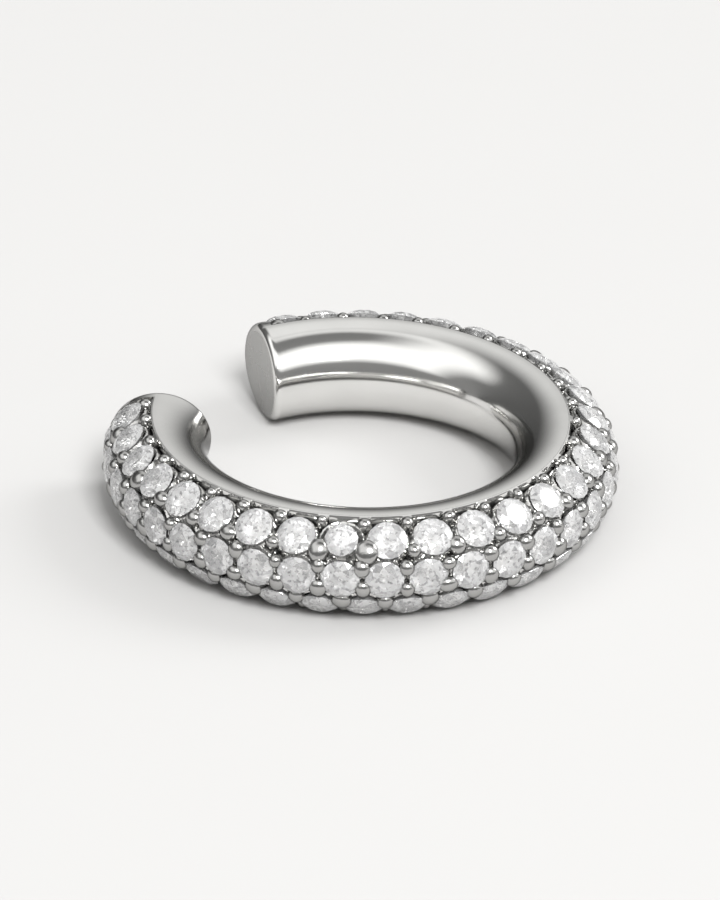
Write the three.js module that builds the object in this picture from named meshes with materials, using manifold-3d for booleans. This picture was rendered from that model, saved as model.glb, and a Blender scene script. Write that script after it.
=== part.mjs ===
// Pave ear cuff: an open, slightly oval ring of round section that lies on its side.
// The inner half and the two ends are smooth metal. The outer half carries three rows of
// round cut stones, which small prongs hold in a plate that is let into the metal.
// Millimetres, +Z up. The opening faces -X. The origin is on the surface that the cuff
// rests on, under the middle of the ring.
import * as THREE from "three";
import { mergeVertices } from "three/addons/utils/BufferGeometryUtils.js";
import Module from "manifold-3d";

const wasm = await Module();
wasm.setup();

// The ring. A place round it is an angle in degrees from +X, the back of the cuff.
const RING_RADIUS = 5.6; // from the middle of the ring to the middle of its section
const OVAL_SHARE = 0.0232; // how much longer than a circle the ring is along X
const SECTION_RADIUS = 1.4;
const NEAR_END_DEG = -158.5;
const FAR_END_DEG = 156;
const END_LEAN_DEG = 8; // of each end face, whose inner side stands out the most
const END_ROUND = 0.2; // rounding of the edge of each end face
const END_SPARE = 0.03; // least smooth metal between that rounding and the plate

// The seat of the plate. A place round the section is an angle from outwards to +Z.
const RIM_TOP_DEG = 86;
const RIM_BOTTOM_DEG = -77;
const RIM_SLOPE_DEG = 2; // lean of the rim's wall, in degrees round the section
const SEAT_DEPTH = 0.42; // of the flats that the plate lies on
const CLEARANCE = 0.04; // between the plate and the metal round it
const SEAM_DEG = 34.4; // place round the ring where the plate's two halves meet

// The stones, in three rows that share the section's outer side evenly.
const RIM_FLAT_DEG = 11.5; // between each rim and the outer rows' share of the section
const STONE_PITCH = 1.215; // the nearest pitch that fills a row is used
const STONE_RADIUS = 0.52;
const TABLE_SHARE = 0.58; // radius of a stone's table over the stone's radius
const GIRDLE_DEPTH = 0.1; // of a stone's edge below the smooth metal's surface
const TABLE_HEIGHT = 0.04; // of a stone's table above the smooth metal's surface
const PLATE_DEPTH = 0.15; // of the plate's flats below the smooth metal's surface
const SMALL_STONE_RADIUS = 0.45;
const SMALL_STONE_ROW = 0; // counted from the top
const SMALL_STONE_PLACE = 8; // counted from the near end
const STONE_SIDES = 8;

// The prongs between neighbouring stones of a row, one above and one below its middle.
const PRONG_RADIUS = 0.2;
const PRONG_HEIGHT = 0.11; // above the smooth metal's surface
const PRONG_SPREAD = 0.34; // from the middle of the row
const PRONG_SIDES = 5;

// How finely the curved solids are divided.
const METAL_STEP_DEG = 10; // degrees round the ring
const PLATE_STEP_DEG = 12;
const INSIDE_STEPS = 10; // round the smooth half of the section
const ROUND_STEPS = 3;
const LENGTH_STEPS = 400; // of the sum that measures a row
const SHORTEST_EDGE = 0.015; // shorter edges, which the joining leaves, are taken out

const SEAT_RADIUS = SECTION_RADIUS - SEAT_DEPTH;
const PLATE_INSIDE = SEAT_RADIUS + CLEARANCE;
const PLATE_OUTSIDE = SECTION_RADIUS - PLATE_DEPTH;
const ROOT_RADIUS = (PLATE_INSIDE + PLATE_OUTSIDE) / 2; // foot of stones and prongs
const NEAR_SIDE = -1;
const FAR_SIDE = 1;

const { cos, sin, tan, round } = Math;
const radians = THREE.MathUtils.degToRad;
const UP = new THREE.Vector3(0, 0, 1);
const END_CAP = END_ROUND + SECTION_RADIUS * tan(radians(END_LEAN_DEG)) + END_SPARE;

// An arc length on the smooth metal's surface as an angle round the section.
function sectionAngle(length) {
  return THREE.MathUtils.radToDeg(length / SECTION_RADIUS);
}

const ROW_STEP = (RIM_TOP_DEG - RIM_BOTTOM_DEG - 2 * RIM_FLAT_DEG) / 3;
const ROW_MIDDLE = (RIM_TOP_DEG + RIM_BOTTOM_DEG) / 2;
const ROWS = [1, 0, -1].map((row) => ROW_MIDDLE + row * ROW_STEP);
const PRONG_ANGLE = sectionAngle(PRONG_SPREAD);
const PRONG_ROOM = sectionAngle(PRONG_RADIUS + CLEARANCE);

// The cuff rests on its lowest line: the smooth metal, or the prongs by the lower rim.
const LOWEST_PRONG = radians(RIM_BOTTOM_DEG + PRONG_ROOM);
const REST_HEIGHT = Math.max(
  SECTION_RADIUS,
  -(SECTION_RADIUS + PRONG_HEIGHT) * sin(LOWEST_PRONG),
);

// The ring's middle line at a place round it, with its direction and its outward side.
function frameAt(place) {
  const turn = radians(place);
  const radius = RING_RADIUS * (1 + OVAL_SHARE * cos(2 * turn));
  const growth = -2 * RING_RADIUS * OVAL_SHARE * sin(2 * turn);
  const middle = new THREE.Vector3(radius * cos(turn), radius * sin(turn), REST_HEIGHT);
  const along = new THREE.Vector3(
    growth * cos(turn) - radius * sin(turn),
    growth * sin(turn) + radius * cos(turn),
    0,
  ).normalize();
  const outward = new THREE.Vector3(along.y, -along.x, 0);
  return { middle, along, outward };
}

// A point at an angle round the section and a distance from the section's middle.
function surfacePoint(place, angle, distance) {
  const { middle, outward } = frameAt(place);
  return middle
    .addScaledVector(outward, distance * cos(radians(angle)))
    .addScaledVector(UP, distance * sin(radians(angle)));
}

// Degrees round the ring that a length of its middle line takes.
function placeLength(place, length) {
  const radius = RING_RADIUS * (1 + OVAL_SHARE * cos(2 * radians(place)));
  return THREE.MathUtils.radToDeg(length / radius);
}

// Evenly spaced values from first to last, both included.
function spread(first, last, steps) {
  return Array.from({ length: steps + 1 }, (_, i) => first + ((last - first) * i) / steps);
}

// Evenly spaced places from first to last, as many as the widest step allows.
function ringPlaces(first, last, widest) {
  return spread(first, last, Math.ceil((last - first) / widest));
}

// A closed solid through sections that follow the ring. Each station has its place and an
// outline of the same number of points, each an [angle, distance] round the section. It may
// lean, by an angle that takes its inner side to a higher place round the ring.
function sweep(stations) {
  const count = stations[0].outline.length;
  const points = stations.flatMap(({ place, outline, lean = 0 }) =>
    outline.map(([angle, distance]) => {
      const shift = -distance * cos(radians(angle)) * tan(radians(lean));
      return surfacePoint(place, angle, distance).addScaledVector(frameAt(place).along, shift);
    }),
  );
  const faces = [];
  for (let ring = 0; ring < stations.length - 1; ring++) {
    for (let i = 0; i < count; i++) {
      const a = ring * count + i;
      const b = ring * count + ((i + 1) % count);
      faces.push([a, a + count, b], [b, a + count, b + count]);
    }
  }
  const flat = stations[0].outline.map(
    ([angle, distance]) =>
      new THREE.Vector2(distance * cos(radians(angle)), distance * sin(radians(angle))),
  );
  const last = (stations.length - 1) * count;
  for (const [a, b, c] of THREE.ShapeUtils.triangulateShape(flat, [])) {
    faces.push([a, b, c], [last + a, last + c, last + b]);
  }
  const geometry = new THREE.BufferGeometry().setFromPoints(points);
  return geometry.setIndex(faces.flat());
}

// A geometry whose faces close up, as a solid that can be joined and cut.
function solidOf(geometry) {
  const bare = geometry.clone();
  bare.deleteAttribute("normal");
  bare.deleteAttribute("uv");
  const merged = mergeVertices(bare, 1e-5);
  return new wasm.Manifold(
    new wasm.Mesh({
      numProp: 3,
      vertProperties: merged.attributes.position.array,
      triVerts: new Uint32Array(merged.index.array),
    }),
  );
}

// A joined and cut solid as a geometry for a mesh.
function geometryOf(solid) {
  const { vertProperties, triVerts } = solid.getMesh();
  const geometry = new THREE.BufferGeometry();
  geometry.setAttribute("position", new THREE.BufferAttribute(vertProperties, 3));
  geometry.setIndex(new THREE.BufferAttribute(triVerts, 1));
  geometry.computeVertexNormals();
  return geometry;
}

// Angles of the outline's outer side, from the lower rim up: each row of stones has a flat
// of its own, divided into a number of parts, and a short flat leads on to each rim.
function outerAngles(inset, parts) {
  const lowest = ROWS.at(-1) - ROW_STEP / 2;
  const highest = ROWS[0] + ROW_STEP / 2;
  const across = spread(lowest, highest, ROWS.length * parts);
  return [RIM_BOTTOM_DEG + inset, ...across, RIM_TOP_DEG - inset];
}

// Distance from the section's middle to a flat whose own middle is at the given distance.
function flatDistance(angle, distance) {
  const turn = Math.min(...ROWS.map((row) => Math.abs(angle - row)));
  return distance / cos(radians(Math.min(turn, ROW_STEP / 2)));
}

// The metal's outline: the smooth inner side, then the round or cut back outer side.
function metalOutline(radius, isCutBack) {
  const inside = spread(RIM_TOP_DEG, RIM_BOTTOM_DEG + 360, INSIDE_STEPS).map((angle) => [angle, radius]);
  const outside = outerAngles(RIM_SLOPE_DEG, 2).map((angle) => [
    angle,
    isCutBack ? flatDistance(angle, SEAT_RADIUS) : radius,
  ]);
  return [...inside, ...outside];
}

// The stations of one rounded end, from its flat face to the wall where the seat starts.
function endStations(end, side) {
  const stations = spread(0, 90, ROUND_STEPS).map((angle) => {
    const depth = END_ROUND * (1 - cos(radians(angle)));
    const radius = SECTION_RADIUS - END_ROUND * (1 - sin(radians(angle)));
    const place = end - side * placeLength(end, depth);
    return { place, outline: metalOutline(radius, false), lean: side * END_LEAN_DEG };
  });
  stations.push({ place: seatEnd(end, side), outline: metalOutline(SECTION_RADIUS, false) });
  return stations;
}

// Place round the ring where the smooth metal of an end gives way to the seat.
function seatEnd(end, side) {
  return end - side * placeLength(end, END_CAP);
}

// The metal of the cuff: a bent rod with rounded ends, cut back on its outer side.
function cuffBand() {
  const seat = metalOutline(SECTION_RADIUS, true);
  const first = seatEnd(NEAR_END_DEG, NEAR_SIDE);
  const last = seatEnd(FAR_END_DEG, FAR_SIDE);
  const places = ringPlaces(first, last, METAL_STEP_DEG);
  return sweep([
    ...endStations(NEAR_END_DEG, NEAR_SIDE),
    ...places.map((place) => ({ place, outline: seat })),
    ...endStations(FAR_END_DEG, FAR_SIDE).reverse(),
  ]);
}

// The plate that carries the stones, from one place round the ring to another.
function settingPlate(first, last) {
  const inset = sectionAngle(CLEARANCE) + RIM_SLOPE_DEG;
  const angles = outerAngles(inset, 1);
  const outline = [
    ...angles.map((angle) => [angle, flatDistance(angle, PLATE_OUTSIDE)]),
    ...angles.toReversed().map((angle) => [angle, flatDistance(angle, PLATE_INSIDE)]),
  ];
  return sweep(ringPlaces(first, last, PLATE_STEP_DEG).map((place) => ({ place, outline })));
}

// A round-cut stone on its axis +Z, from its foot in the plate to its table.
function stoneGeometry(radius) {
  const girdle = SECTION_RADIUS - GIRDLE_DEPTH - ROOT_RADIUS;
  const table = SECTION_RADIUS + TABLE_HEIGHT - ROOT_RADIUS;
  const profile = [
    new THREE.Vector2(0, 0),
    new THREE.Vector2(radius, 0),
    new THREE.Vector2(radius, girdle),
    new THREE.Vector2(radius * TABLE_SHARE, table),
    new THREE.Vector2(0, table),
  ];
  return new THREE.LatheGeometry(profile, STONE_SIDES).rotateX(radians(90));
}

// A prong on its axis +Z: a short post with a rounded head.
function prongGeometry() {
  const top = SECTION_RADIUS + PRONG_HEIGHT - ROOT_RADIUS;
  const shoulder = top - PRONG_RADIUS;
  const profile = [
    new THREE.Vector2(0, 0),
    new THREE.Vector2(PRONG_RADIUS, 0),
    new THREE.Vector2(PRONG_RADIUS, shoulder),
    new THREE.Vector2(0, top),
  ];
  return new THREE.LatheGeometry(profile, PRONG_SIDES, Math.PI / PRONG_SIDES).rotateX(radians(90));
}

// A stone's or prong's geometry set on the plate, its axis square to the surface.
function setOnPlate(geometry, place, angle) {
  const { along, outward } = frameAt(place);
  const axis = outward
    .clone()
    .multiplyScalar(cos(radians(angle)))
    .addScaledVector(UP, sin(radians(angle)));
  const across = axis.clone().cross(along);
  const basis = new THREE.Matrix4().makeBasis(along, across, axis);
  basis.setPosition(surfacePoint(place, angle, ROOT_RADIUS));
  return geometry.clone().applyMatrix4(basis);
}

// Places that divide a row into equal half pitches: stones are at the odd ones, and the
// prongs between them at the even ones. The pitch is the nearest one that fills the row.
function rowStops(first, last, angle) {
  const places = spread(first, last, LENGTH_STEPS);
  const points = places.map((place) => surfacePoint(place, angle, PLATE_OUTSIDE));
  const lengths = [0];
  for (let i = 1; i < points.length; i++) {
    lengths.push(lengths[i - 1] + points[i].distanceTo(points[i - 1]));
  }
  const halves = 2 * round(lengths[LENGTH_STEPS] / STONE_PITCH);
  const stops = spread(0, lengths[LENGTH_STEPS], halves);
  return stops.map((length) => {
    const isPast = (reached, i) => i > 0 && (reached >= length || i === LENGTH_STEPS);
    const step = lengths.findIndex(isPast);
    const part = (length - lengths[step - 1]) / (lengths[step] - lengths[step - 1]);
    return places[step - 1] + part * (places[step] - places[step - 1]);
  });
}

// Angles of the two prongs that stand beside the middle of a row. The outer ones of the
// first and last row stand by the rim.
function prongAngles(row) {
  const above = row === 0 ? RIM_TOP_DEG - PRONG_ROOM : ROWS[row] + PRONG_ANGLE;
  const below = row === ROWS.length - 1 ? RIM_BOTTOM_DEG + PRONG_ROOM : ROWS[row] - PRONG_ANGLE;
  return [above, below];
}

// Angles of the prongs that stand by an end cap: one by each rim and one between rows.
function endProngAngles() {
  const between = ROWS.slice(1).map((angle, row) => (angle + ROWS[row]) / 2);
  return [RIM_TOP_DEG - PRONG_ROOM, ...between, RIM_BOTTOM_DEG + PRONG_ROOM];
}

// Half of the stone-set field, from an end cap to the seam: its plate with all the stones
// and prongs that it carries. The prongs on the seam are shared by both halves.
function paveField(end, side) {
  const capEdge = seatEnd(end, side);
  const start = capEdge - side * placeLength(end, CLEARANCE);
  const seamEdge = SEAM_DEG + side * placeLength(SEAM_DEG, CLEARANCE / 2);
  let field = solidOf(settingPlate(Math.min(start, seamEdge), Math.max(start, seamEdge)));
  const stone = stoneGeometry(STONE_RADIUS);
  const smallStone = stoneGeometry(SMALL_STONE_RADIUS);
  const prong = prongGeometry();
  ROWS.forEach((angle, row) => {
    const stops = rowStops(capEdge, SEAM_DEG, angle);
    for (let i = 1; i < stops.length; i += 2) {
      const isSmall = side === NEAR_SIDE && row === SMALL_STONE_ROW && i === 2 * SMALL_STONE_PLACE + 1;
      field = field.add(solidOf(setOnPlate(isSmall ? smallStone : stone, stops[i], angle)));
    }
    for (let i = 2; i < stops.length; i += 2) {
      for (const prongAngle of prongAngles(row)) {
        field = field.add(solidOf(setOnPlate(prong, stops[i], prongAngle)));
      }
    }
  });
  const endProngs = capEdge - side * placeLength(end, PRONG_RADIUS + CLEARANCE);
  for (const angle of endProngAngles()) {
    field = field.add(solidOf(setOnPlate(prong, endProngs, angle)));
  }
  return geometryOf(field.subtract(beyondSeam(seamEdge, side)).simplify(SHORTEST_EDGE));
}

// A block that starts at the edge of the seam and takes away what stands over it.
function beyondSeam(seamEdge, side) {
  const size = 2 * (SECTION_RADIUS + PRONG_HEIGHT + CLEARANCE);
  const { middle, along, outward } = frameAt(seamEdge);
  const basis = new THREE.Matrix4().makeBasis(outward, along, UP);
  basis.setPosition(middle.addScaledVector(along, (-side * size) / 2));
  return solidOf(new THREE.BoxGeometry(size, size, size).applyMatrix4(basis));
}

const polishedSilver = new THREE.MeshStandardMaterial({
  color: 0xd8d7d4,
  roughness: 0.12,
  metalness: 1,
});
const setStones = new THREE.MeshStandardMaterial({
  color: 0xeeeeec,
  roughness: 0.1,
  metalness: 0.6,
});

// A named mesh for one piece of the cuff.
function piece(name, geometry, material) {
  const mesh = new THREE.Mesh(geometry, material);
  mesh.name = name;
  return mesh;
}

const cuff = new THREE.Group();
cuff.add(
  piece("cuff_band", cuffBand(), polishedSilver),
  piece("pave_field_near", paveField(NEAR_END_DEG, NEAR_SIDE), setStones),
  piece("pave_field_far", paveField(FAR_END_DEG, FAR_SIDE), setStones),
);

export default cuff;
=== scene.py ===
"""Looks of the pave ear cuff: polished metal, a cut setting with prongs, and faceted stones."""
import math
import random

import bmesh
import bpy
import numpy as np
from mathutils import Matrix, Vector


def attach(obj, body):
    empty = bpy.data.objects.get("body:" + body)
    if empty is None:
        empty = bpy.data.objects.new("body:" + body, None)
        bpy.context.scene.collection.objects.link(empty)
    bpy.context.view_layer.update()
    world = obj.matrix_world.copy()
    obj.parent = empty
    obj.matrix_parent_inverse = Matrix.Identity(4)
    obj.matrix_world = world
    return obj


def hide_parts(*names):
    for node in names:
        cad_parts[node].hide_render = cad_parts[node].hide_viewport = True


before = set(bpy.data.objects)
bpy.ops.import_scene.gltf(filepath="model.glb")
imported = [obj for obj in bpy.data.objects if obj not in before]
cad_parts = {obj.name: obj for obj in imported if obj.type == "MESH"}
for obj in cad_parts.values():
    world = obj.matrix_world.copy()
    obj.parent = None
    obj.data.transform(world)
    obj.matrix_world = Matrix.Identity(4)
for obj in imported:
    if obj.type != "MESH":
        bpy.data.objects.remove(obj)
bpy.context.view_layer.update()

MM = 0.001

# The ring. A place round it is an angle in degrees from +X, the back of the cuff.
RING_RADIUS = 5.6 * MM
OVAL_SHARE = 0.0232
SECTION_RADIUS = 1.4 * MM
NEAR_END = -158.5
FAR_END = 156
END_LEAN = math.radians(8)  # of each end face, whose inner side stands out the most
END_ROUND = 0.2 * MM
END_SPARE = 0.03 * MM
END_CAP = END_ROUND + SECTION_RADIUS * math.tan(END_LEAN) + END_SPARE
END_DOME = 0.06 * MM  # how far an end face curves back at its top and bottom
FACE_MIDDLE = 0.02  # share of an end face's radius that its innermost outline takes
FACE_RINGS = 11
ROUND_STEPS = 12
CAP_STEPS = 4
REST_HEIGHT = 1.4 * MM
NEAR_SIDE = -1
FAR_SIDE = 1
BAND_STATIONS = 420
INNER_POINTS = 56  # of the section's smooth side
OUTER_POINTS = 32  # of the section's side under the setting
BAND_SHARP = 35  # least angle of a sharp edge, in degrees

# The stone-set side. A place round the section is an angle from outwards to +Z.
RIM_TOP = 86
RIM_BOTTOM = -77
RIM_FLAT = 11.5
RIM_JOINT = 0.2  # hairline between the smooth metal and the setting, in degrees
RIM_TOLERANCE = 0.1  # in degrees
SEAM = 34.4
SEAM_GAP = 0.002 * MM
PLATE_OUTSIDE = 1.25 * MM
HIDDEN_SEAT = 0.72 * MM  # distance from the section's middle to the setting's inner side
HIDDEN_GAP = 0.02 * MM
HIDDEN_POINTS = 8
ROW_STEP = (RIM_TOP - RIM_BOTTOM - 2 * RIM_FLAT) / 3
ROW_MIDDLE = (RIM_TOP + RIM_BOTTOM) / 2
ROWS = [ROW_MIDDLE + row * ROW_STEP for row in (1, 0, -1)]
STONE_PITCH = 1.215 * MM
LENGTH_STEPS = 400

# The stones, by their distances from the section's middle and their own radius.
STONE_RADIUS = 0.54 * MM
SMALL_STONE_RADIUS = 0.46 * MM
WIDE_SEAT_RADIUS = 0.59 * MM  # of the small stone's seat
SMALL_STONE_ROW = 0
SMALL_STONE_PLACE = 8
TABLE_LEVEL = 1.47 * MM
GIRDLE_LEVEL = 1.335 * MM
GIRDLE_THICKNESS = 0.02 * MM
FOLDS = 8  # sides of a stone's table
TABLE_SHARE = 0.57
CROWN_SHARE = 0.79  # radius of the points where star and kite facets meet
LOWER_SHARE = 0.24  # radius of the points where the pavilion's short facets end
PAVILION_SLOPE = math.tan(math.radians(41))
STONE_TILT = 2.5  # most that a stone leans, in degrees
COVERED_SHARE = 0.97  # of a stone's radius, inside which it hides the setting

# The prongs. Each is drawn a little off the sizes and the place below.
PRONG_RADIUS = 0.268 * MM
PRONG_TOP = 1.54 * MM
PRONG_FOOT = 1.12 * MM
PRONG_DOME = 0.2 * MM
PRONG_SPREAD = 0.34 * MM
PRONG_ROOM = 0.24 * MM
PRONG_SIDES = 18
PRONG_RINGS = 5
PRONG_LEAN = 9  # most that a prong leans, in degrees
PRONG_SHIFT = 0.03 * MM  # most that a prong stands off its place
PRONG_SINK = 0.04 * MM  # most that a prong stands low
PRONG_SHARES = (0.8, 1.05)  # least and greatest radius, as shares
PRONG_STRETCH = (0.88, 1.12)
PRONG_SHARP = 40  # least angle of a sharp edge, in degrees
END_PRONG_SHARES = (0.8, 0.95)
BIG_PRONG_SHARE = 1.22
RIM_PRONG_SHARE = 0.78
RIM_PRONG_DROP = 0.07 * MM

# The cut surface of the setting, by its distance from the section's middle.
RECESS_LEVEL = 1.17 * MM
COLLAR_LEVEL = 1.315 * MM
COLLAR_SLOPE = 1.5
SEAT_ROOM = 0.01 * MM
SEAT_SLOPE = 0.8
LEDGE_WIDTH = 0.06 * MM
LEDGE_DROP = 0.01 * MM
FINGER_WIDTH = 0.36 * MM
FINGER_TAPER = 0.5
FINGER_DROP = 0.06 * MM
FINGER_REACH = 1.2 * PRONG_ROOM
WALL_SLOPE = 4
GRID_STEP = 0.035 * MM
LEVEL_ROUNDS = 3
SETTING_SHARP = 28  # least angle of a sharp edge, in degrees

# The camera looks from the side where the opening is at the left and behind.
CAMERA_AZIMUTH = 36
CAMERA_ELEVATION = 29.13
CAMERA_DISTANCE = 224 * MM
CAMERA_LENS = 405
CAMERA_CLIP = 10 * MM
SENSOR_WIDTH = 36
AIM_UP = 0.2386 * MM
AIM_RIGHT = -0.0108 * MM

# The studio. A pitch is 0 degrees at the horizon behind the camera, 90 overhead and 180 at the
# far horizon. A side is -90 degrees at the camera's left and 90 at its right. Where two angles
# go together, a zone of the studio fades in from the first to the second.
FAR_DARK = 0.12
LOW_LIGHT = 0.27
LOW_FADE = (160, 60)
FRONT_LIGHT = 1.4
FRONT_START = (26, 46)
FRONT_END = (128, 98)
FRONT_LEFT = (-72, -40)
SLOT_START = (70, 88)  # of the dark slot in the front light
SLOT_END = (110, 96)
SLOT_LEFT = (-34, 4)
REAR_LIGHT = 0.98
REAR_START = (98, 116)
REAR_END = (196, 134)
REAR_LEFT = (-36, 2)
GLOW_TONE = (1.0, 1.0, 0.99, 1)
PANEL_DISTANCE = 0.9
FLOOR_REACH = 2.0
FLOOR_GRAIN = 60.0
FLOOR_ROUGHNESS = 0.9
FLOOR_DARK = (0.488, 0.484, 0.479, 1)
FLOOR_PALE = (0.5, 0.496, 0.491, 1)

# The metal and the stones. A grain is how many times a pattern repeats in a metre.
CLEAN_TONE = (0.83, 0.825, 0.81)
WORN_TONE = (0.72, 0.715, 0.7)
# Painted shade: deep in the setting's recesses the metal is darkened towards this tone.
RECESS_SHADE_TONE = (0.12, 0.12, 0.118, 1)
SHADE_FREE_HEIGHT = 0.75  # height in the setting from which the metal has no painted shade
EDGE_TONE = (0.3, 0.3, 0.3, 1)  # of the metal where it is seen at a grazing angle
WEAR_GRAIN = 900.0
MARK_GRAIN = 5200.0
MARK_DEPTH = 0.01 * MM
ROUGH_RANGE = 0.07
STONE_CLEARNESS = 0.7
STONE_BEND = 2.16  # how strongly the stones bend light
STONE_ROUGHNESS = 0.01
STONE_GRAIN = 9000.0
STONE_CLEAR_TONE = (1.0, 1.0, 1.0, 1)
# Grey of the painted facet reflections and of the fine specks.
STONE_GREY_TONE = (0.24, 0.24, 0.25, 1)
FACET_START = 0.6  # share of the facets left without painted internal reflections
# Painted internal reflections: the most that a facet is greyed.
FACET_REFLECTION_GREY = 0.55
SPECK_START = 0.53
SPECK_END = 0.66
SPECK_GREY = 0.8

dice = random.Random(5)


def section_angle(length):
    """An arc length on the smooth metal's surface as degrees round the section."""
    return math.degrees(length / SECTION_RADIUS)


def ring_frame(place):
    """The ring's middle line at places round it, with its direction and its outward side."""
    turn = np.radians(np.asarray(place, dtype=float))
    radius = RING_RADIUS * (1 + OVAL_SHARE * np.cos(2 * turn))
    growth = -2 * RING_RADIUS * OVAL_SHARE * np.sin(2 * turn)
    flat = np.zeros_like(turn)
    middle = np.stack([radius * np.cos(turn), radius * np.sin(turn), flat + REST_HEIGHT], -1)
    along = np.stack(
        [
            growth * np.cos(turn) - radius * np.sin(turn),
            growth * np.sin(turn) + radius * np.cos(turn),
            flat,
        ],
        -1,
    )
    along /= np.linalg.norm(along, axis=-1, keepdims=True)
    outward = np.stack([along[..., 1], -along[..., 0], flat], -1)
    return middle, along, outward


def surface_point(place, angle, distance):
    """Points at an angle round the section and a distance from the section's middle."""
    place, angle, distance = np.broadcast_arrays(place, angle, distance)
    middle, _, outward = ring_frame(place)
    turn = np.radians(angle)[..., None]
    up = np.array([0, 0, 1])
    return middle + distance[..., None] * (outward * np.cos(turn) + up * np.sin(turn))


def place_length(place, length, outward=0):
    """Degrees round the ring that a length takes on its middle line or further outward."""
    radius = RING_RADIUS * (1 + OVAL_SHARE * math.cos(2 * math.radians(place)))
    return np.degrees(length / (radius + outward))


def seam_gap():
    """Degrees round the ring that the setting keeps clear of each of its ends."""
    return place_length(SEAM, SEAM_GAP)


def seat_end(end, side):
    """Place where the smooth metal of an end gives way to the setting."""
    return end - side * place_length(end, END_CAP)


def row_stops(first, last, angle):
    """Places that divide a row into half pitches: stones at the odd ones, prongs at the even."""
    places = np.linspace(first, last, LENGTH_STEPS + 1)
    points = surface_point(places, angle, PLATE_OUTSIDE)
    steps = np.linalg.norm(np.diff(points, axis=0), axis=1)
    lengths = np.concatenate([[0], np.cumsum(steps)])
    halves = 2 * round(lengths[-1] / STONE_PITCH)
    return np.interp(np.linspace(0, lengths[-1], halves + 1), lengths, places)


def prong_angles(row):
    """Angles of the two prongs beside the middle of a row. The outermost stand by a rim."""
    above = ROWS[row] + section_angle(PRONG_SPREAD)
    below = ROWS[row] - section_angle(PRONG_SPREAD)
    if row == 0:
        above = RIM_TOP - section_angle(PRONG_ROOM)
    if row == len(ROWS) - 1:
        below = RIM_BOTTOM + section_angle(PRONG_ROOM)
    return [above, below]


def is_by_rim(angle):
    """Whether a prong at this angle stands by one of the rims."""
    return min(RIM_TOP - angle, angle - RIM_BOTTOM) < section_angle(PRONG_ROOM) + RIM_TOLERANCE


def half_field(end, side):
    """One half's stones and prongs.

    A stone is its place, angle, radius and seat radius. A prong is its place, angle, radius and top.
    """
    edge = seat_end(end, side)
    stones = []
    prongs = []
    for row, angle in enumerate(ROWS):
        stops = row_stops(edge, SEAM, angle)
        for number, place in enumerate(stops[1::2]):
            small = (side, row, number) == (NEAR_SIDE, SMALL_STONE_ROW, SMALL_STONE_PLACE)
            sizes = (SMALL_STONE_RADIUS, WIDE_SEAT_RADIUS) if small else (STONE_RADIUS, STONE_RADIUS)
            stones.append((place, angle, *sizes))
        for number, place in enumerate(stops[2::2]):
            if side == FAR_SIDE and place == stops[-1]:
                continue
            for is_lower, prong_angle in enumerate(prong_angles(row)):
                by_small = side == NEAR_SIDE and row == SMALL_STONE_ROW and is_lower
                big = by_small and number in (SMALL_STONE_PLACE - 1, SMALL_STONE_PLACE)
                share = BIG_PRONG_SHARE if big else dice.uniform(*PRONG_SHARES)
                top = PRONG_TOP
                if is_by_rim(prong_angle):
                    share *= RIM_PRONG_SHARE
                    top -= RIM_PRONG_DROP
                stop = place + place_length(place, dice.uniform(-PRONG_SHIFT, PRONG_SHIFT))
                prongs.append((stop, prong_angle, PRONG_RADIUS * share, top))
    by_end = edge - side * place_length(end, PRONG_ROOM)
    between = [(ROWS[0] + ROWS[1]) / 2, (ROWS[1] + ROWS[2]) / 2]
    by_rims = [RIM_TOP - section_angle(PRONG_ROOM), RIM_BOTTOM + section_angle(PRONG_ROOM)]
    for prong_angle in between + by_rims:
        radius = PRONG_RADIUS * dice.uniform(*END_PRONG_SHARES)
        prongs.append((by_end, prong_angle, radius, PRONG_TOP - RIM_PRONG_DROP))
    return stones, prongs


def add_piece(name, points, faces, sharp_angle=None):
    """A mesh object from points and faces, its faces turned outwards."""
    mesh = bpy.data.meshes.new(name)
    mesh.from_pydata(np.asarray(points).tolist(), [], faces)
    shape = bmesh.new()
    shape.from_mesh(mesh)
    bmesh.ops.recalc_face_normals(shape, faces=shape.faces)
    shape.to_mesh(mesh)
    shape.free()
    if sharp_angle is not None:
        mesh.shade_smooth()
        mesh.set_sharp_from_angle(angle=math.radians(sharp_angle))
    piece = bpy.data.objects.new(name, mesh)
    bpy.context.collection.objects.link(piece)
    return piece


def sweep_faces(stations, count):
    """Quads between closed outlines of the same number of points."""
    ring = np.arange(stations - 1)[:, None] * count
    first = ring + np.arange(count)
    second = ring + (np.arange(count) + 1) % count
    quads = np.stack([first, second, second + count, first + count], -1)
    return quads.reshape(-1, 4).tolist()


def end_stations(end, side, angles):
    """Outlines of an end from the middle of its face to the place where the setting begins."""
    across = np.cos(np.radians(angles))
    curve = END_DOME * np.sin(np.radians(angles))**2
    outlines = []

    def add_outline(radius, back):
        turned = end - side * place_length(end, back, radius * across)
        outlines.append(surface_point(turned, angles, radius))

    for share in np.linspace(FACE_MIDDLE, 1, FACE_RINGS + 1)[:-1]:
        radius = share * (SECTION_RADIUS - END_ROUND)
        add_outline(radius, share**2 * curve + radius * across * math.tan(END_LEAN))
    for turn in np.radians(np.linspace(0, 90, ROUND_STEPS + 1)):
        radius = SECTION_RADIUS - END_ROUND * (1 - math.sin(turn))
        back = curve + END_ROUND * (1 - math.cos(turn)) + radius * across * math.tan(END_LEAN)
        add_outline(radius, back)
    edge = end - side * place_length(end, back, SECTION_RADIUS * across)
    for share in np.linspace(0, 1, CAP_STEPS + 1)[1:]:
        stop = edge + share * (seat_end(end, side) - edge)
        outlines.append(surface_point(stop, angles, SECTION_RADIUS))
    return outlines


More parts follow.
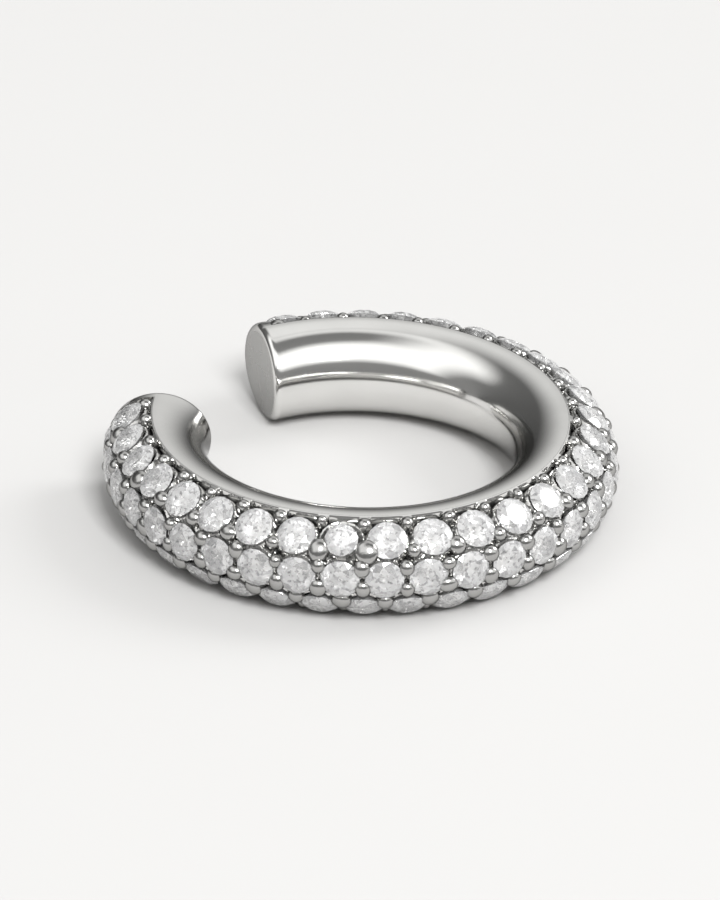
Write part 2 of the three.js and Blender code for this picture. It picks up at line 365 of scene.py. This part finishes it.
def add_band():
    """The smooth metal: a bent rod with rounded ends, cut back where the setting lies."""
    inner = np.linspace(RIM_TOP, RIM_BOTTOM + 360, INNER_POINTS)
    outer = np.linspace(RIM_BOTTOM, RIM_TOP, OUTER_POINTS)
    angles = np.concatenate([inner, outer])
    seat = np.concatenate([
        np.full(INNER_POINTS, SECTION_RADIUS),
        np.full(OUTER_POINTS, HIDDEN_SEAT - HIDDEN_GAP),
    ])
    first = seat_end(NEAR_END, NEAR_SIDE) + seam_gap()
    last = seat_end(FAR_END, FAR_SIDE) - seam_gap()
    places = np.linspace(first, last, BAND_STATIONS)
    outlines = [
        *end_stations(NEAR_END, NEAR_SIDE, angles),
        *[surface_point(place, angles, seat) for place in places],
        *end_stations(FAR_END, FAR_SIDE, angles)[::-1],
    ]
    count = len(angles)
    faces = sweep_faces(len(outlines), count)
    rings = np.repeat(np.arange(len(outlines) - 1), count)
    is_end = (rings < FACE_RINGS) | (rings >= len(outlines) - 1 - FACE_RINGS)
    faces.append(list(range(count)))
    faces.append(list(range(count * (len(outlines) - 1), count * len(outlines))))
    band = add_piece("band", np.concatenate(outlines), faces, BAND_SHARP)
    # The end faces take the second material, whose darker tint is painted shade.
    band.data.polygons.foreach_set("material_index", np.append(is_end, [True, True]).astype(int))
    return band


def axis_distance(points, place, angle):
    """Distance of points from the line through the section's middle at a place and angle."""
    middle = surface_point(place, angle, 0)
    axis = (surface_point(place, angle, SECTION_RADIUS) - middle) / SECTION_RADIUS
    away = points - middle
    height = away @ axis
    return np.linalg.norm(away - height[..., None] * axis, axis=-1)


def rim_levels(place, angle, prongs):
    """On a grid, the level of the ledges along the rims and of the fingers that reach to the prongs."""
    from_rim = np.minimum(RIM_TOP - angle, angle - RIM_BOTTOM) / section_angle(1)
    out = RING_RADIUS + SECTION_RADIUS * np.cos(np.radians(angle))
    ledge = SECTION_RADIUS - LEDGE_DROP * from_rim / LEDGE_WIDTH
    ledge = ledge - WALL_SLOPE * np.maximum(from_rim - LEDGE_WIDTH, 0)
    levels = np.maximum(ledge, RECESS_LEVEL)
    for stop, prong_angle, _, _ in prongs:
        if not is_by_rim(prong_angle):
            continue
        on_its_side = (RIM_TOP - angle < angle - RIM_BOTTOM) == (prong_angle > 0)
        near = (np.abs(place - stop) < place_length(stop, STONE_PITCH)) & on_its_side
        beside = np.abs(np.radians(place - stop)) * out
        half_width = FINGER_WIDTH / 2 * (1 - FINGER_TAPER * np.minimum(from_rim / PRONG_ROOM, 1))
        ridge = SECTION_RADIUS - FINGER_DROP * from_rim / PRONG_ROOM
        ridge = ridge - WALL_SLOPE * np.maximum(beside - half_width, 0)
        ridge = ridge - WALL_SLOPE * np.maximum(from_rim - FINGER_REACH, 0)
        levels = np.where(near, np.maximum(levels, ridge), levels)
    return levels


def cut_levels(place, angle, stones, prongs):
    """On a grid, the cut setting's distance from the section's middle, and where stones cover it."""
    rims = rim_levels(place, angle, prongs)
    level = np.full(place.shape, PLATE_OUTSIDE)
    for _ in range(LEVEL_ROUNDS):
        points = surface_point(place, angle, level)
        metal = rims.copy()
        cut = np.full(place.shape, 2 * SECTION_RADIUS)
        covered = np.zeros(place.shape, dtype=bool)
        for stone_place, stone_angle, radius, seat_radius in stones:
            near = np.abs(place[:, 0] - stone_place) < place_length(stone_place, STONE_PITCH)
            rows = np.flatnonzero(near)
            distance = axis_distance(points[rows], stone_place, stone_angle)
            edge = seat_radius + SEAT_ROOM
            collar = COLLAR_LEVEL - COLLAR_SLOPE * np.maximum(distance - edge, 0)
            metal[rows] = np.maximum(metal[rows], collar)
            bowl = GIRDLE_LEVEL - GIRDLE_THICKNESS - SEAT_SLOPE * (edge - distance)
            bowl = np.where(distance < edge, bowl, 2 * SECTION_RADIUS)
            cut[rows] = np.minimum(cut[rows], bowl)
            covered[rows] |= distance < COVERED_SHARE * radius
        level = np.maximum(np.minimum(metal, cut), HIDDEN_SEAT + HIDDEN_GAP)
    return level, covered


def add_setting(name, first, last, stones, prongs):
    """The cut metal that carries half of the stones, from one place to another."""
    rows = math.ceil(math.radians(last - first) * (RING_RADIUS + SECTION_RADIUS) / GRID_STEP)
    low = RIM_BOTTOM + RIM_JOINT
    high = RIM_TOP - RIM_JOINT
    columns = math.ceil(math.radians(high - low) * SECTION_RADIUS / GRID_STEP)
    places = np.linspace(first, last, rows)
    angles = np.linspace(low, high, columns)
    place, angle = np.meshgrid(places, angles, indexing="ij")
    level, covered = cut_levels(place, angle, stones, prongs)
    hidden = np.linspace(high, low, HIDDEN_POINTS)
    outline = columns + HIDDEN_POINTS
    points = np.empty((rows, outline, 3))
    points[:, :columns] = surface_point(place, angle, level)
    points[:, columns:] = surface_point(place[:, :1], hidden[None, :], HIDDEN_SEAT)
    faces = sweep_faces(rows, outline)
    faces.append(list(range(outline)))
    faces.append(list(range((rows - 1) * outline, rows * outline)))
    piece = add_piece(name, points.reshape(-1, 3), faces, SETTING_SHARP)
    # Height of each point in the setting, which the material turns into painted shade in the recesses;
    # where stones cover the setting it counts as full height, without shade.
    height = np.zeros((rows, outline))
    open_height = (level - RECESS_LEVEL) / (SECTION_RADIUS - RECESS_LEVEL)
    height[:, :columns] = np.where(covered, 1, open_height)
    shade_height_layer = piece.data.attributes.new("height", "FLOAT", "POINT")
    shade_height_layer.data.foreach_set("value", np.clip(height, 0, 1).ravel())
    return piece


def set_upright(points, place, angle, level, turn, lean, lean_turn):
    """Points on an axis +Z moved to a place on the setting, turned and leaned a little."""
    _, along, outward = ring_frame(place)
    tilt = math.radians(angle)
    axis = outward * math.cos(tilt) + np.array([0, 0, math.sin(tilt)])
    across = np.cross(axis, along)
    spin = np.array([
        [math.cos(turn), -math.sin(turn), 0],
        [math.sin(turn), math.cos(turn), 0],
        [0, 0, 1],
    ])
    side = np.array([math.cos(lean_turn), math.sin(lean_turn)]) * math.tan(lean)
    turned = points @ spin.T
    shift = np.stack([turned[:, 2] * side[0], turned[:, 2] * side[1], -turned[:, :2] @ side], -1)
    return surface_point(place, angle, level) + (turned + shift) @ np.stack([along, across, axis])


def brilliant(radius):
    """Points and faces of a round brilliant whose girdle's middle is at the origin."""
    half_turn = math.pi / FOLDS
    table = TABLE_LEVEL - GIRDLE_LEVEL
    table_radius = radius * TABLE_SHARE
    top = GIRDLE_THICKNESS / 2
    crown_radius = radius * CROWN_SHARE
    crown_slope = (table - top) / (radius - table_radius)
    crown = table - (crown_radius * math.cos(half_turn) - table_radius) * crown_slope
    culet = -top - radius * PAVILION_SLOPE
    lower_radius = radius * LOWER_SHARE
    lower = culet + lower_radius * math.cos(half_turn) * PAVILION_SLOPE

    def ring(count, offset, size, height):
        turns = [2 * math.pi * i / count + offset for i in range(count)]
        return [(size * math.cos(t), size * math.sin(t), height) for t in turns]

    points = [
        *ring(FOLDS, 0, table_radius, table),
        *ring(FOLDS, half_turn, crown_radius, crown),
        *ring(2 * FOLDS, 0, radius, top),
        *ring(2 * FOLDS, 0, radius, -top),
        *ring(FOLDS, half_turn, lower_radius, lower),
        (0, 0, culet),
    ]
    first_crown = FOLDS
    first_girdle = 2 * FOLDS
    first_lower = 6 * FOLDS
    tip = 7 * FOLDS
    faces = [list(range(FOLDS))]
    for i in range(FOLDS):
        after = (i + 1) % FOLDS
        before = (i - 1) % FOLDS
        star = first_crown + i
        low = first_lower + i
        girdle = [first_girdle + (2 * i + step) % (2 * FOLDS) for step in (0, 1, 2)]
        under = [index + 2 * FOLDS for index in girdle]
        faces += [
            [i, after, star],
            [i, star, girdle[0], first_crown + before],
            [star, girdle[1], girdle[0]],
            [star, girdle[2], girdle[1]],
            [girdle[0], girdle[1], under[1], under[0]],
            [girdle[1], girdle[2], under[2], under[1]],
            [low, under[0], under[1]],
            [low, under[1], under[2]],
            [tip, first_lower + before, under[0], low],
        ]
    return np.array(points), faces


def bead(radius):
    """Points and faces of a prong's post with a rounded head, its top at the origin."""
    rings = [(radius, PRONG_FOOT - PRONG_TOP)]
    for step in range(PRONG_RINGS):
        turn = math.pi / 2 * step / PRONG_RINGS
        rings.append((radius * math.cos(turn), PRONG_DOME * (math.sin(turn) - 1)))
    turns = 2 * np.pi * np.arange(PRONG_SIDES) / PRONG_SIDES
    points = []
    for size, height in rings:
        points += [(size * math.cos(t), size * math.sin(t), height) for t in turns]
    faces = sweep_faces(len(rings), PRONG_SIDES)
    faces.append(list(range(PRONG_SIDES)))
    last = len(points) - PRONG_SIDES
    points.append((0, 0, 0))
    for i in range(PRONG_SIDES):
        faces.append([last + i, last + (i + 1) % PRONG_SIDES, len(points) - 1])
    return np.array(points), faces


def add_many(name, shapes, sharp_angle=None):
    """One mesh from many shapes, each its points and faces."""
    points = []
    faces = []
    start = 0
    for shape_points, shape_faces in shapes:
        points.append(shape_points)
        faces += [[start + index for index in face] for face in shape_faces]
        start += len(shape_points)
    return add_piece(name, np.concatenate(points), faces, sharp_angle)


def add_stones(name, stones):
    """Half of the stones, each a little turned and tilted in its seat, with a value for each facet."""
    shapes = []
    for place, angle, radius, _ in stones:
        points, faces = brilliant(radius)
        turn = dice.uniform(0, 2 * math.pi / FOLDS)
        lean = math.radians(dice.uniform(0, STONE_TILT))
        lean_turn = dice.uniform(0, 2 * math.pi)
        placed = set_upright(points, place, angle, GIRDLE_LEVEL, turn, lean, lean_turn)
        shapes.append((placed, faces))
    piece = add_many(name, shapes)
    # A random value for each facet, which the stone material turns into painted internal reflections.
    facet = piece.data.attributes.new("facet", "FLOAT", "FACE")
    facet.data.foreach_set("value", [dice.random() for _ in piece.data.polygons])
    return piece


def add_prongs(name, prongs):
    """Half of the prongs, each a little off its place."""
    shapes = []
    for place, angle, radius, top in prongs:
        points, faces = bead(radius)
        points = points * [dice.uniform(*PRONG_STRETCH), dice.uniform(*PRONG_STRETCH), 1]
        level = top + dice.uniform(-PRONG_SINK, 0)
        lean = math.radians(dice.uniform(0, PRONG_LEAN))
        lean_turn = dice.uniform(0, 2 * math.pi)
        shapes.append((set_upright(points, place, angle, level, 0, lean, lean_turn), faces))
    return add_many(name, shapes, PRONG_SHARP)


class Nodes:
    """A short way to make and link the nodes of a material or of the studio."""

    def __init__(self, owner):
        owner.use_nodes = True
        self.tree = owner.node_tree
        self.tree.nodes.clear()

    def add(self, kind, settings=None, **inputs):
        """A node with its inputs, which are named with underscores for spaces."""
        node = self.tree.nodes.new(kind)
        for name, value in (settings or {}).items():
            setattr(node, name, value)
        for name, value in inputs.items():
            self.put(node.inputs[name.replace("_", " ")], value)
        return node

    def put(self, socket, value):
        """Links an output to a socket, or sets the socket to a plain value."""
        if isinstance(value, bpy.types.NodeSocket):
            self.tree.links.new(value, socket)
        else:
            socket.default_value = value

    def math(self, operation, *values):
        """The result of a sum or a function of numbers and outputs."""
        node = self.add("ShaderNodeMath", {"operation": operation})
        for socket, value in zip(node.inputs, values):
            self.put(socket, value)
        return node.outputs[0]

    def dot(self, direction, axis):
        """The dot product of an output and a fixed axis."""
        node = self.add("ShaderNodeVectorMath", {"operation": "DOT_PRODUCT"}, Vector=direction)
        node.inputs[1].default_value = axis
        return node.outputs["Value"]

    def noise(self, **inputs):
        """A cloudy pattern that is fixed to the piece."""
        where = self.add("ShaderNodeTexCoord").outputs["Object"]
        return self.add("ShaderNodeTexNoise", Vector=where, **inputs).outputs["Fac"]

    def attribute(self, name):
        """A value that the piece's mesh holds."""
        return self.add("ShaderNodeAttribute", {"attribute_name": name}).outputs["Fac"]

    def stretch(self, value, **inputs):
        """A value moved from one range to another, each 0 to 1 where nothing else is given."""
        return self.add("ShaderNodeMapRange", Value=value, **inputs).outputs["Result"]

    def blend(self, share, first, second):
        """A colour that goes from the first to the second as the share grows."""
        node = self.add("ShaderNodeMix", {"data_type": "RGBA"}, Factor=share)
        self.put(node.inputs[6], first)
        self.put(node.inputs[7], second)
        return node.outputs[2]


def polished_metal(name, shade_height_attribute=None, least_rough=0.03, shade_tint=1.0, dents=0.05):
    """Rhodium-plated silver with faint polishing marks, darkened deep in the setting as painted shade;
    a tint below 1 darkens all of it as painted shade.
    """
    material = bpy.data.materials.new(name)
    nodes = Nodes(material)
    wear = nodes.noise(Scale=WEAR_GRAIN, Detail=4.0)
    marks = nodes.noise(Scale=MARK_GRAIN, Detail=3.0, Distortion=1.5)
    rough = nodes.stretch(wear, To_Min=least_rough, To_Max=least_rough + ROUGH_RANGE)
    bump = nodes.add("ShaderNodeBump", Height=marks, Strength=dents, Distance=MARK_DEPTH)
    # Painted shade: a tint below 1 darkens the whole piece's metal.
    clean = [part * shade_tint for part in CLEAN_TONE]
    worn = [part * shade_tint for part in WORN_TONE]
    colour = nodes.blend(wear, (*clean, 1), (*worn, 1))
    # Painted shade: the lower a point stands in the setting, the darker the metal.
    if shade_height_attribute:
        height = nodes.stretch(nodes.attribute(shade_height_attribute), From_Max=SHADE_FREE_HEIGHT)
        colour = nodes.blend(height, RECESS_SHADE_TONE, colour)
    surface = nodes.add(
        "ShaderNodeBsdfPrincipled",
        Base_Color=colour,
        Metallic=1.0,
        Roughness=rough,
        Normal=bump.outputs["Normal"],
        Specular_Tint=EDGE_TONE,
    )
    nodes.add("ShaderNodeOutputMaterial", Surface=surface.outputs["BSDF"])
    return material


def clear_stone():
    """Clear cut stones with fine grey specks, and painted internal reflections that make some of their
    facets greyer than the rest.
    """
    material = bpy.data.materials.new("clear_stone")
    nodes = Nodes(material)
    grain = nodes.noise(Scale=STONE_GRAIN, Detail=3.0)
    # Painted internal reflections: facets picked at random are greyed.
    facets = nodes.stretch(nodes.attribute("facet"), From_Min=FACET_START, To_Max=FACET_REFLECTION_GREY)
    specks = nodes.stretch(grain, From_Min=SPECK_START, From_Max=SPECK_END, To_Max=SPECK_GREY)
    grey = nodes.math("MAXIMUM", facets, specks)
    surface = nodes.add(
        "ShaderNodeBsdfPrincipled",
        Base_Color=nodes.blend(grey, STONE_CLEAR_TONE, STONE_GREY_TONE),
        Roughness=STONE_ROUGHNESS,
        IOR=STONE_BEND,
        Transmission_Weight=STONE_CLEARNESS,
    )
    nodes.add("ShaderNodeOutputMaterial", Surface=surface.outputs["BSDF"])
    return material


def add_floor():
    """A plain pale surface with a very faint unevenness."""
    corners = [(-1, -1), (1, -1), (1, 1), (-1, 1)]
    points = [(FLOOR_REACH * x, FLOOR_REACH * y, 0) for x, y in corners]
    mesh = bpy.data.meshes.new("floor")
    mesh.from_pydata(points, [], [[0, 1, 2, 3]])
    floor = bpy.data.objects.new("floor", mesh)
    bpy.context.collection.objects.link(floor)
    material = bpy.data.materials.new("pale_floor")
    nodes = Nodes(material)
    tone = nodes.blend(nodes.noise(Scale=FLOOR_GRAIN, Detail=3.0), FLOOR_DARK, FLOOR_PALE)
    surface = nodes.add("ShaderNodeBsdfPrincipled", Base_Color=tone, Roughness=FLOOR_ROUGHNESS)
    nodes.add("ShaderNodeOutputMaterial", Surface=surface.outputs["BSDF"])
    mesh.materials.append(material)


def fade_in(nodes, angle, limits):
    """A smooth step from 0 to 1 between two angles in degrees."""
    first, full = np.radians(limits).tolist()
    smooth = {"interpolation_type": "SMOOTHSTEP"}
    step = nodes.add("ShaderNodeMapRange", smooth, Value=angle, From_Min=first, From_Max=full)
    return step.outputs["Result"]


def light_zone(nodes, pitch, side, start, end, left):
    """A part of the studio, 1 inside and falling to 0 at its two ends and its left side."""
    zone = nodes.math("MULTIPLY", fade_in(nodes, pitch, start), fade_in(nodes, pitch, end))
    return nodes.math("MULTIPLY", zone, fade_in(nodes, side, left))


def light_room():
    """A dim studio with a wide bright zone in front and above, and another at the back."""
    world = bpy.data.worlds.new("studio")
    bpy.context.scene.world = world
    nodes = Nodes(world)
    towards = nodes.add("ShaderNodeTexCoord").outputs["Generated"]
    back, right, _ = camera_axes()
    height = nodes.add("ShaderNodeSeparateXYZ", Vector=towards).outputs["Z"]
    pitch = nodes.math("ARCTAN2", height, nodes.dot(towards, (back.x, back.y, 0)))
    side = nodes.math("ARCSINE", nodes.dot(towards, right))
    slot = light_zone(nodes, pitch, side, SLOT_START, SLOT_END, SLOT_LEFT)
    front = light_zone(nodes, pitch, side, FRONT_START, FRONT_END, FRONT_LEFT)
    front = nodes.math("MULTIPLY", front, nodes.math("SUBTRACT", 1, slot))
    rear = light_zone(nodes, pitch, side, REAR_START, REAR_END, REAR_LEFT)
    low = nodes.math("MULTIPLY", fade_in(nodes, pitch, LOW_FADE), LOW_LIGHT - FAR_DARK)
    light = nodes.math("ADD", low, FAR_DARK)
    light = nodes.math("MAXIMUM", light, nodes.math("MULTIPLY", front, FRONT_LIGHT))
    light = nodes.math("MAXIMUM", light, nodes.math("MULTIPLY", rear, REAR_LIGHT))
    glow = nodes.add("ShaderNodeBackground", Color=GLOW_TONE, Strength=light)
    nodes.add("ShaderNodeOutputWorld", Surface=glow.outputs["Background"])


def camera_axes():
    """The camera's directions: backwards, to the right and up."""
    turn = math.radians(CAMERA_AZIMUTH)
    rise = math.radians(CAMERA_ELEVATION)
    back = Vector((math.sin(turn) * math.cos(rise), -math.cos(turn) * math.cos(rise), math.sin(rise)))
    right = Vector((math.cos(turn), math.sin(turn), 0))
    return back, right, back.cross(right)


def add_panel(name, pitch, side, size, power):
    """A square light at a pitch and a side of the camera, aimed at the cuff."""
    back, right, _ = camera_axes()
    level = Vector((back.x, back.y, 0)).normalized()
    rise = math.radians(pitch)
    aside = math.radians(side)
    ahead = level * math.cos(rise) + Vector((0, 0, math.sin(rise)))
    towards = ahead * math.cos(aside) + right * math.sin(aside)
    light = bpy.data.lights.new(name, "AREA")
    light.size = size
    light.energy = power
    lamp = bpy.data.objects.new(name, light)
    lamp.location = towards * PANEL_DISTANCE
    lamp.rotation_euler = towards.to_track_quat("Z", "Y").to_euler()
    bpy.context.collection.objects.link(lamp)


def add_camera():
    """The camera at the photograph's angle, with a long lens."""
    back, right, up = camera_axes()
    data = bpy.data.cameras.new("camera")
    data.sensor_fit = "HORIZONTAL"
    data.sensor_width = SENSOR_WIDTH
    data.lens = CAMERA_LENS
    data.clip_start = CAMERA_CLIP
    camera = bpy.data.objects.new("camera", data)
    aim = Vector((0, 0, REST_HEIGHT)) + up * AIM_UP + right * AIM_RIGHT
    camera.location = aim + back * CAMERA_DISTANCE
    camera.rotation_euler = back.to_track_quat("Z", "Y").to_euler()
    bpy.context.collection.objects.link(camera)
    bpy.context.scene.camera = camera


def dress(piece, materials, node):
    """Gives a piece its materials and ties it to the frame."""
    for material in materials:
        piece.data.materials.append(material)
    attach(piece, "root")
    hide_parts(node)


near_stones, near_prongs = half_field(NEAR_END, NEAR_SIDE)
far_stones, far_prongs = half_field(FAR_END, FAR_SIDE)
all_stones = near_stones + far_stones
all_prongs = near_prongs + far_prongs

smooth_metal = polished_metal("smooth_metal", least_rough=0.08)
# The end faces: a real rougher satin finish, and a darker tint that is painted shade.
satin_shaded_metal = polished_metal("satin_shaded_metal", least_rough=0.24, shade_tint=0.85)
# The setting's metal, with painted shade deep in its recesses.
recess_shaded_metal = polished_metal("recess_shaded_metal", "height")
# The prongs' metal, with a much darker tint as painted shade.
shaded_prong_metal = polished_metal("shaded_prong_metal", least_rough=0.14, shade_tint=0.58, dents=0.5)
stone_material = clear_stone()

dress(add_band(), [smooth_metal, satin_shaded_metal], "cuff_band")
halves = [
    ("near", seat_end(NEAR_END, NEAR_SIDE), SEAM, near_stones, near_prongs),
    ("far", SEAM, seat_end(FAR_END, FAR_SIDE), far_stones, far_prongs),
]
for half, first, last, stones, prongs in halves:
    node = f"pave_field_{half}"
    inside = (first + seam_gap(), last - seam_gap())
    setting = add_setting(f"setting_{half}", *inside, all_stones, all_prongs)
    dress(setting, [recess_shaded_metal], node)
    dress(add_prongs(f"prongs_{half}", prongs), [shaded_prong_metal], node)
    dress(add_stones(f"stones_{half}", stones), [stone_material], node)

add_floor()
light_room()
add_panel("front_panel", pitch=50, side=12, size=0.3, power=8.6)
add_panel("right_panel", pitch=112, side=51, size=0.42, power=3.4)
add_camera()
bpy.context.scene.view_settings.view_transform = "Standard"
